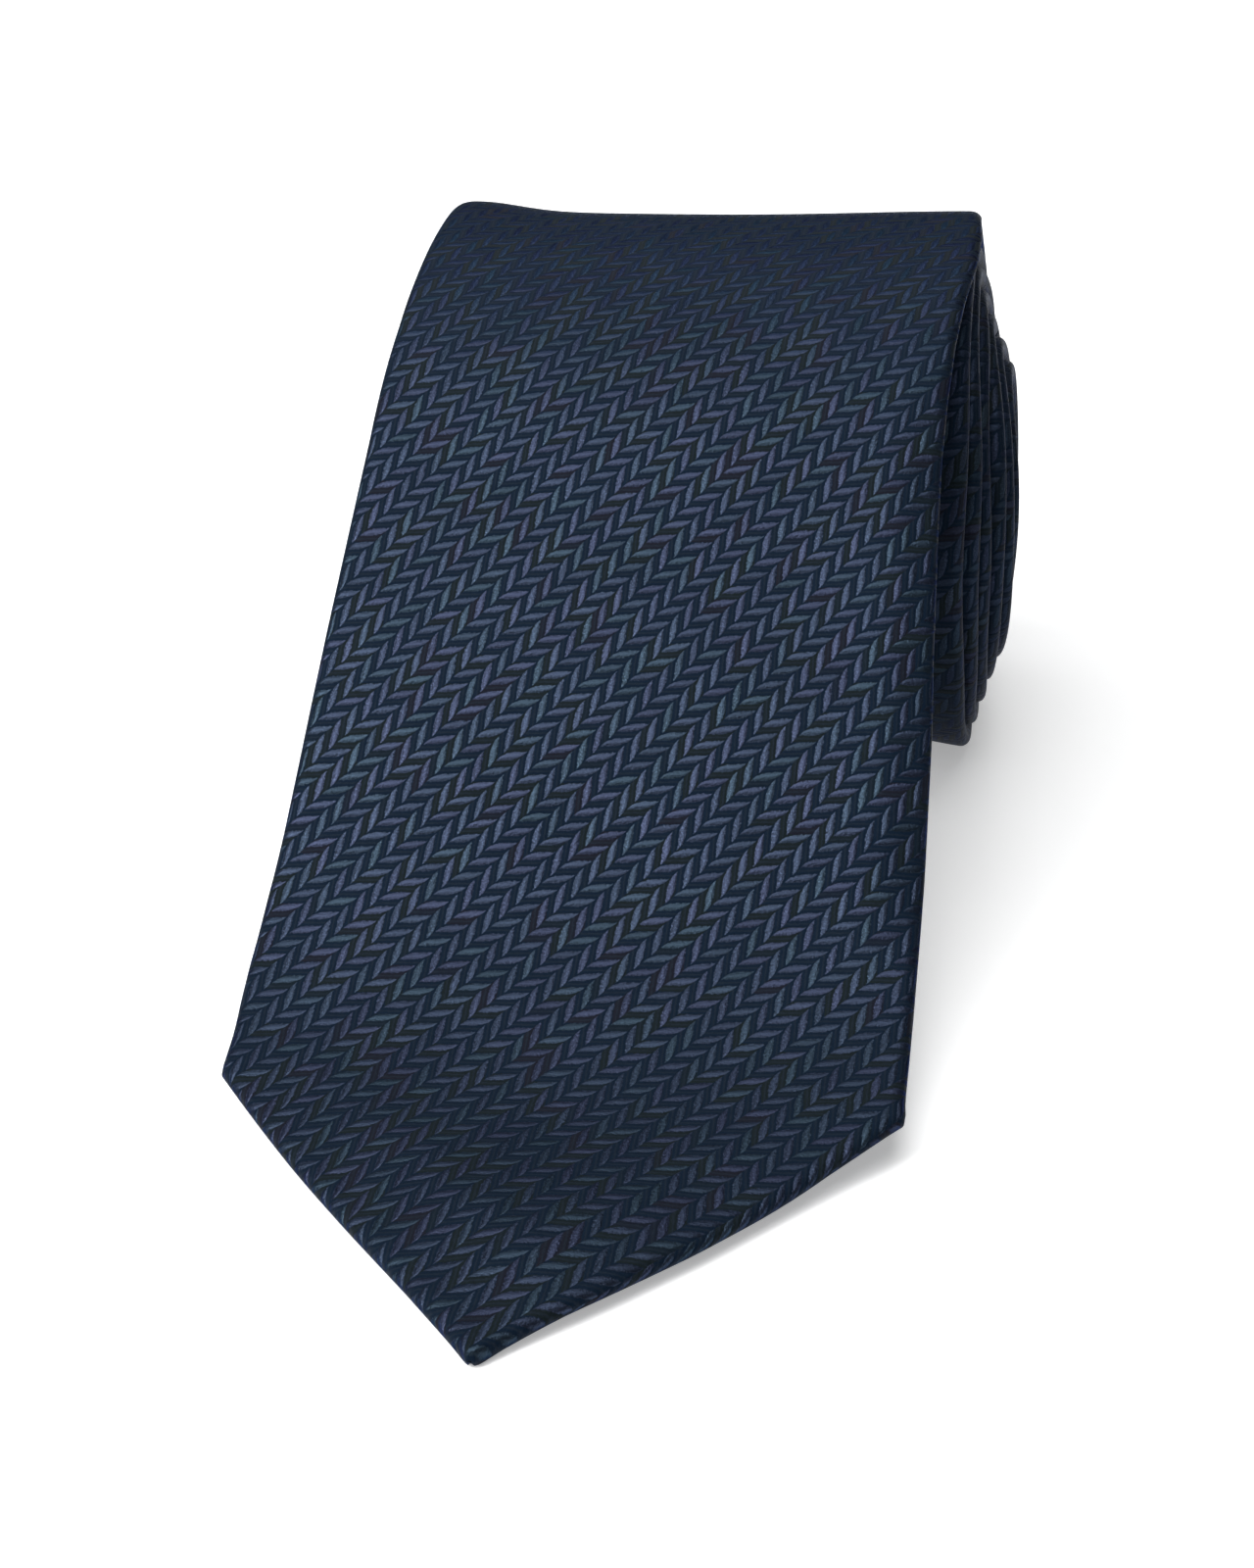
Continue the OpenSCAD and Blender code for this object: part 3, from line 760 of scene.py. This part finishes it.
def silk_chain(s, face_points):
    """The folded silk's section: back flap, fold, face, fold, back flap.

    Gives the outer and inner surface, the distance across the cloth, and two marks: how far a
    point is in a fold, and how far it is packed between the turns of the roll."""
    hw, gap = half_width(s)[:, None], opening(s)[:, None]
    u = TIE_END - s[:, None]
    blade_like = 1 - smooth((s[:, None] - APEX + FOLD_BEFORE) / FOLD_RUN)
    fold_z = BLADE_FOLD[0] * blade_like + ROLL_FOLD[0] * (1 - blade_like)
    fold_z = fold_z * (1 + FOLD_STRAY * drift(s[:, None], FOLD_WAVE, FOLD_SEED))
    fold_x = BLADE_FOLD[1] * blade_like + ROLL_FOLD[1] * (1 - blade_like)
    pointed = 1 - smooth((np.minimum(s[:, None] - CORNER, u - TAIL_WIDTH / 2) + 1) / 2)
    pointed = np.maximum(pointed, 1 - smooth((u - TAIL_WIDTH / 2 + 1) / 2))
    fold_x = np.minimum(fold_x * (1 + POINT_FOLD_WIDER * pointed), FOLD_LIMIT * hw)
    near_tip = np.clip(np.minimum(s[:, None], u) / TIP_LENGTH, 0, 1)
    closed = np.maximum(THINNEST, np.sqrt(1 - (1 - near_tip) ** 2))

    def thickness(from_fold):
        return HALF + (fold_z - HALF) * np.exp(-(from_fold / FOLD_SPREAD) ** 2)

    flap = np.array(FLAP_AT)[None]
    reach = np.maximum(hw - fold_x - gap, 0.02)
    flap_x = gap + flap * reach
    dip = FLAP_DIP * np.exp(-((flap_x - gap) / DIP_SPREAD) ** 2)
    flap_z = -thickness(reach * (1 - flap)) + dip
    angle = np.radians(np.linspace(-90, 90, FOLD_POINTS))[1:-1][None]
    fold_out_x, fold_out_z = hw - fold_x + fold_x * np.cos(angle), fold_z * np.sin(angle)
    in_x = np.maximum(fold_x - SILK, 0.2 * fold_x)
    fold_in_x, fold_in_z = hw - fold_x + in_x * np.cos(angle), (fold_z - SILK) * np.sin(angle)
    across = crowded(face_points, FACE_CROWDING)
    face_x = (hw - fold_x) * across[None]
    face_z = thickness((hw - fold_x) - np.abs(face_x))

    def chain(flap_rise, side_x, side_rise, face_rise):
        x = np.concatenate([-flap_x, -side_x, face_x, side_x[:, ::-1], flap_x[:, ::-1]], 1)
        rise = np.concatenate([flap_rise, side_rise, face_rise, side_rise[:, ::-1],
                               flap_rise[:, ::-1]], 1)
        return x, rise * closed

    outer = chain(flap_z, fold_out_x, fold_out_z, face_z)
    inner = chain(flap_z + SILK, fold_in_x, fold_in_z, face_z - SILK)
    run = np.concatenate([np.zeros((len(s), 1)), np.cumsum(
        np.hypot(np.diff(outer[0], axis=1), np.diff(outer[1], axis=1)), axis=1)], 1)
    cloth_x = run - run[:, -1:] / 2
    in_fold = 0 * fold_out_x + np.cos(angle) ** 2
    fold_mark = np.concatenate([0 * flap_x, in_fold, 0 * face_x, in_fold, 0 * flap_x], 1)

    def near_fold(x):
        return np.exp(-((hw - x) / PACKED_REACH) ** 2)

    # packed: how far a point lies between the packed turns of the roll, where the silk is darkened as
    # painted shade
    at_fold = np.ones_like(fold_out_x)
    in_roll = smooth((s[:, None] - APEX - PAST_CROWN) / PACKED_RUN)
    packed = in_roll * np.concatenate([near_fold(flap_x), at_fold, near_fold(np.abs(face_x)),
                                       at_fold, near_fold(flap_x[:, ::-1])], 1)
    return outer, inner, cloth_x, {"fold": fold_mark, "packed": packed}


def silk_panel(name, start, end, step, face_points):
    """A length of the folded silk."""
    s = stations(start, end, step)
    outer, inner, cloth_x, marks = silk_chain(s, face_points)
    obj = band(name, s, outer, inner, silk, cloth_x, marks)
    return obj


PLY_POINTS = 21
RAGGED_WAVE, RAGGED_SEED = 4.0, 21
PLY_EDGE = 0.25                              # a ply's edge is this much of its thickness


def flat_panel(name, start, end, step, reach, top, bottom, material,
               ragged=0.0):
    """A flat ply with rounded edges. reach(s) is half its width; top and bottom are heights."""
    s = stations(start, end, step)
    half = reach(s)[:, None]
    if ragged:
        half = half + ragged * drift(s[:, None], RAGGED_WAVE, RAGGED_SEED)
    x = half * crowded(PLY_POINTS, PLY_CROWDING)[None]
    mid, thick = (top + bottom) / 2, (top - bottom) / 2
    from_edge = np.clip((half - np.abs(x)) / max(thick, 0.1), 0, 1)
    full = thick * np.maximum(PLY_EDGE, np.sqrt(1 - (1 - from_edge) ** 2))
    obj = band(name, s, (x, mid + full), (x, mid - full), material, x)
    return obj


PANEL_GAP, WRAP_GAP = 0.03, 0.02             # between two silk panels, so that they don't touch
SEAM_ALLOWANCE = 1.6                         # room that the linings leave at a folded edge


def crosses_hinge(obj):
    """Bakes a piece's placement into its mesh; it is attached to no body."""
    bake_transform(obj)


# Silk: the blade with the back of the first turn in one cloth, then the rest of the roll
blade_silk = silk_panel("blade_silk", 0.0, WRAP, step=1.6, face_points=45)
crosses_hinge(blade_silk)
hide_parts("blade_point_shell")
roll_silk = silk_panel("roll_silk", WRAP + WRAP_GAP, BLADE_JOIN, step=2.4, face_points=29)
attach(roll_silk, "roll")
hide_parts("blade_roll_shell")
neck_silk = silk_panel("neck_silk", BLADE_JOIN + PANEL_GAP, TAIL_JOIN, step=2.2, face_points=21)
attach(neck_silk, "roll")
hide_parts("neck_shell")
tail_silk = silk_panel("tail_silk", TAIL_JOIN + PANEL_GAP, TIE_END, step=1.8, face_points=21)
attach(tail_silk, "roll")
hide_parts("tail_shell")


WOOL_INSET, TIPPING_INSET = 4.0, 5.0         # from the tie's two points
RAGGED = 0.15
LEAST_REACH = 0.3
TIPPING_TUCK = 5                             # how far the tipping goes under the flaps' edges
TIPPING_PAST_VEE = 6


def lining_reach(s):
    """Half the width of the wool."""
    return np.maximum(half_width(s) - SILK - SEAM_ALLOWANCE, LEAST_REACH)


blade_wool = flat_panel("blade_wool", WOOL_INSET, WRAP, 3.0, lining_reach,
                        LINING_TOP - WOOL_SPARE, LINING_BOTTOM, wool,
                        ragged=RAGGED)
crosses_hinge(blade_wool)
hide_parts("blade_point_interlining")
roll_wool = flat_panel("roll_wool", WRAP + 0.1, TIE_END - WOOL_INSET, 3.5, lining_reach,
                       LINING_TOP - WOOL_SPARE, LINING_BOTTOM, wool,
                       ragged=RAGGED)
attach(roll_wool, "roll")
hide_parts("interlining")


def tipping_reach(s):
    """Half the width of a tipping: it fills the opening and goes on a little under the flaps."""
    inside = np.minimum(half_width(s) - SILK - 1.8, opening(s) + TIPPING_TUCK)
    return np.maximum(inside, LEAST_REACH)


blade_tipping = flat_panel("blade_tipping_cloth", TIPPING_INSET, BLADE_VEE + TIPPING_PAST_VEE, 1.6,
                           tipping_reach, TIPPING_TOP, TIPPING_BOTTOM, tipping_cloth)
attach(blade_tipping, "blade")
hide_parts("blade_tipping")
tail_tipping = flat_panel("tail_tipping_cloth", TIE_END - TAIL_VEE - TIPPING_PAST_VEE,
                          TIE_END - TIPPING_INSET, 1.6, tipping_reach, TIPPING_TOP,
                          TIPPING_BOTTOM, tipping_cloth)
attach(tail_tipping, "roll")
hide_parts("tail_tipping")


def patch(name, node, start, length, width, material, slot):
    """A piece sewn flat on the back of the tie."""
    obj = flat_panel(name, start, start + length, 1.0, lambda s: np.full_like(s, width / 2),
                     BACK_RISE, BACK_RISE - THIN_PLY, material)
    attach(obj, "roll")
    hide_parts(node)


patch("silk_keeper_loop", "keeper_loop", LOOP_AT, LOOP_WIDTH, LOOP_LENGTH, silk, "patterned_silk")
patch("blank_label", "maker_label", LABEL_AT, LABEL_LENGTH, LABEL_WIDTH, label_satin, "label_satin")
patch("blank_care_tape", "care_label", CARE_AT, CARE_LENGTH, CARE_WIDTH, care_tape, "care_tape")


# ---------------------------------------------------------------- stitching

THREAD, SLACK_THREAD = 0.14, 0.2
SLIP_STEP, HEM_STEP, RUN_STEP = 5.0, 4.0, 2.2
TACK_PASSES, TACK_REACH, TACK_LENGTH = 15, 3.0, 1.6
SEAM_PAST_VEE = 7                            # from the opening's corner to the first slip stitch


def seam_stitches(start, end):
    """Slip stitches that cross the gap between the back flaps, one slanted stitch at a time."""
    lines = []
    for k, s in enumerate(np.arange(start, end, SLIP_STEP)):
        lean = 0.5 + 0.15 * math.sin(7.3 * k)
        t = np.linspace(-1, 1, 7)
        lines.append(np.stack([0.75 * t, s + lean * t, -HALF - 0.12 + 0.34 * t ** 2], 1))
    return lines


def bar_tack_line(s):
    """Dense zigzag across the seam."""
    k = np.arange(TACK_PASSES * 6 + 1) / 6
    x = TACK_REACH * (2 * np.abs(2 * (k / 2 - np.floor(k / 2 + 0.5))) - 1)
    rise = -HALF - 0.22 - 0.05 * np.cos(np.pi * x / TACK_REACH)
    return [np.stack([x, s + TACK_LENGTH * k / TACK_PASSES, rise], 1)]


def hem_stitches():
    """Small slanted stitches that hold the edge of the opening to the tipping."""
    first = HEM * math.sqrt(2) + 4
    lines = []
    for s in np.arange(first, BLADE_VEE - 12, HEM_STEP):
        for side in (-1, 1):
            edge = float(opening(np.array(s)))
            t = np.linspace(0, 1, 6)
            x = side * (edge - 1.0 + 1.7 * t)
            rise = TIPPING_BOTTOM - 0.06 - 0.72 * smooth(t * 1.4) + 0.12 * smooth((t - 0.7) / 0.3)
            lines.append(np.stack([x, s + t, rise], 1))
    return lines


def patch_stitches(start, length, width):
    """Four small stitches at the corners of a piece sewn on the back."""
    rise = BACK_RISE - THIN_PLY
    lines = []
    for s in (start + 2, start + length - 3.6):
        for side in (-1, 1):
            t = np.linspace(0, 1, 6)
            x = np.full(6, side * (width / 2 - 1.5))
            lines.append(np.stack([x, s + 1.6 * t, rise - 0.12 * np.sin(np.pi * t)], 1))
    return lines


def join_stitches(s):
    """Running stitches of a panel join, on both sides of the slip stitch."""
    far = float(half_width(np.array(s))) - SILK - SEAM_ALLOWANCE
    lines = []
    for side in (-1, 1):
        for x in np.arange(1.2, far - 1.4, RUN_STEP):
            t = np.linspace(0, 1, 4)
            rise = np.full(4, TIPPING_TOP - 0.12)
            lines.append(np.stack([side * (x + 1.5 * t), np.full(4, s), rise], 1))
    return lines


def slack_loop():
    """The slack left in the slip stitch: a small uneven loop of thread lying on the tipping."""
    t = np.linspace(0.12, 2 * np.pi - 0.12, 40)
    at = BLADE_VEE - 16
    x = 2.6 * np.sin(t) * (1 + 0.15 * np.cos(2 * t))
    s = at + 3.0 * np.cos(t)
    rise = TIPPING_BOTTOM - 0.25 - 0.12 * np.sin(3 * t)
    return [np.stack([x, s, rise], 1)]


def sewn(name, node, lines, body, radius=THREAD):
    """Stitches in one piece; body is None where they cross the hinge."""
    obj = tubes(name, lines, radius, thread)
    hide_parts(node)
    if body:
        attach(obj, body)
    return obj


blade_slip = sewn("blade_slip_stitch", "blade_point_slip_stitch",
                  seam_stitches(BLADE_VEE + SEAM_PAST_VEE, WRAP - 2), None)
crosses_hinge(blade_slip)
sewn("roll_slip_stitch", "slip_stitch",
     seam_stitches(WRAP + 2, TIE_END - TAIL_VEE - SEAM_PAST_VEE), "roll")
sewn("hem_stitches", "tipping_stitches", hem_stitches(), "blade")
sewn("blade_tack", "blade_bar_tack", bar_tack_line(BLADE_VEE + 1), "blade")
sewn("tail_tack", "tail_bar_tack", bar_tack_line(TIE_END - TAIL_VEE - 2.6), "roll")
sewn("slack_loop", "slack_thread_loop", slack_loop(), "blade", SLACK_THREAD)
sewn("loop_stitches", "keeper_loop_stitches",
     patch_stitches(LOOP_AT, LOOP_WIDTH, LOOP_LENGTH), "roll")
sewn("label_stitches", "maker_label_stitches",
     patch_stitches(LABEL_AT, LABEL_LENGTH, LABEL_WIDTH), "roll")
sewn("blade_neck_stitches", "blade_neck_seam", join_stitches(BLADE_JOIN), "roll")
sewn("neck_tail_stitches", "neck_tail_seam", join_stitches(TAIL_JOIN), "roll")


# ---------------------------------------------------------------- floor and light

FLOOR_WIDE, FLOOR_NEAR, FLOOR_FAR = 4.0, -3.0, 6.0
FLOOR_DARK, FLOOR_PALE, FLOOR_GLOW = (0.93, 0.93, 0.93, 1), (0.96, 0.96, 0.96, 1), 0.35
WORLD_TINT = (0.95, 0.97, 1.0, 1)
WORLD_LIGHT, WORLD_SEEN = 0.15, 0.92         # its strength as a light, and as a background


def lay_floor():
    """A plain pale floor."""
    verts = [(-FLOOR_WIDE, FLOOR_NEAR, 0), (FLOOR_WIDE, FLOOR_NEAR, 0),
             (FLOOR_WIDE, FLOOR_FAR, 0), (-FLOOR_WIDE, FLOOR_FAR, 0)]
    mesh = bpy.data.meshes.new("floor")
    mesh.from_pydata(verts, [], [(0, 1, 2, 3)])
    material = bpy.data.materials.new("pale_floor")
    material.use_nodes = True
    tree = material.node_tree
    surface = tree.nodes["Principled BSDF"]
    grain = tree.nodes.new("ShaderNodeTexNoise")
    grain.inputs["Scale"].default_value = 3.0
    ramp = tree.nodes.new("ShaderNodeValToRGB")
    ramp.color_ramp.elements[0].color = FLOOR_DARK
    ramp.color_ramp.elements[1].color = FLOOR_PALE
    tree.links.new(grain.outputs["Fac"], ramp.inputs["Fac"])
    tree.links.new(ramp.outputs["Color"], surface.inputs["Base Color"])
    surface.inputs["Roughness"].default_value = 0.9
    surface.inputs["Emission Color"].default_value = (1, 1, 1, 1)
    surface.inputs["Emission Strength"].default_value = FLOOR_GLOW
    surface.inputs["Specular IOR Level"].default_value = 0.1
    mesh.materials.append(material)
    obj = bpy.data.objects.new("floor", mesh)
    bpy.context.scene.collection.objects.link(obj)


def soft_light(name, position, target, size, power):
    """A rectangular lamp that faces the target."""
    data = bpy.data.lights.new(name, "AREA")
    data.shape, data.size, data.size_y = "RECTANGLE", size[0], size[1]
    data.energy = power
    lamp = bpy.data.objects.new(name, data)
    lamp.location = position
    aim = Vector(target) - Vector(position)
    lamp.rotation_euler = aim.to_track_quat("-Z", "Y").to_euler()
    bpy.context.scene.collection.objects.link(lamp)


def light_scene():
    """A large soft light overhead, weaker ones behind and at the left, and one on the far floor."""
    soft_light("overhead_light", position=(-0.14, -0.17, 0.50), target=(-0.14, -0.17, 0.0),
               size=(0.62, 0.52), power=3.4)
    soft_light("back_light", position=(-0.14, 0.35, 0.50), target=(-0.10, 0.0, 0.0),
               size=(0.62, 0.30), power=1.0)
    soft_light("fill_light", position=(-1.3, -1.0, 1.2), target=(0, 0, 0.04),
               size=(1.0, 1.0), power=38)
    data = bpy.data.lights.new("floor_light", "SPOT")
    data.energy, data.spot_size, data.spot_blend = 240, math.radians(80), 1.0
    data.shadow_soft_size = 0.3
    lamp = bpy.data.objects.new("floor_light", data)
    lamp.location = (0, 1.6, 1.9)
    bpy.context.scene.collection.objects.link(lamp)
    world = bpy.data.worlds.new("studio")
    world.use_nodes = True
    tree = world.node_tree
    tree.nodes["Background"].inputs[0].default_value = WORLD_TINT
    seen = tree.nodes.new("ShaderNodeLightPath").outputs["Is Camera Ray"]
    strength = tree.nodes.new("ShaderNodeMapRange")
    strength.inputs["To Min"].default_value = WORLD_LIGHT
    strength.inputs["To Max"].default_value = WORLD_SEEN
    tree.links.new(seen, strength.inputs["Value"])
    tree.links.new(strength.outputs[0], tree.nodes["Background"].inputs[1])
    bpy.context.scene.world = world
    bpy.context.scene.view_settings.view_transform = "Standard"


lay_floor()
light_scene()
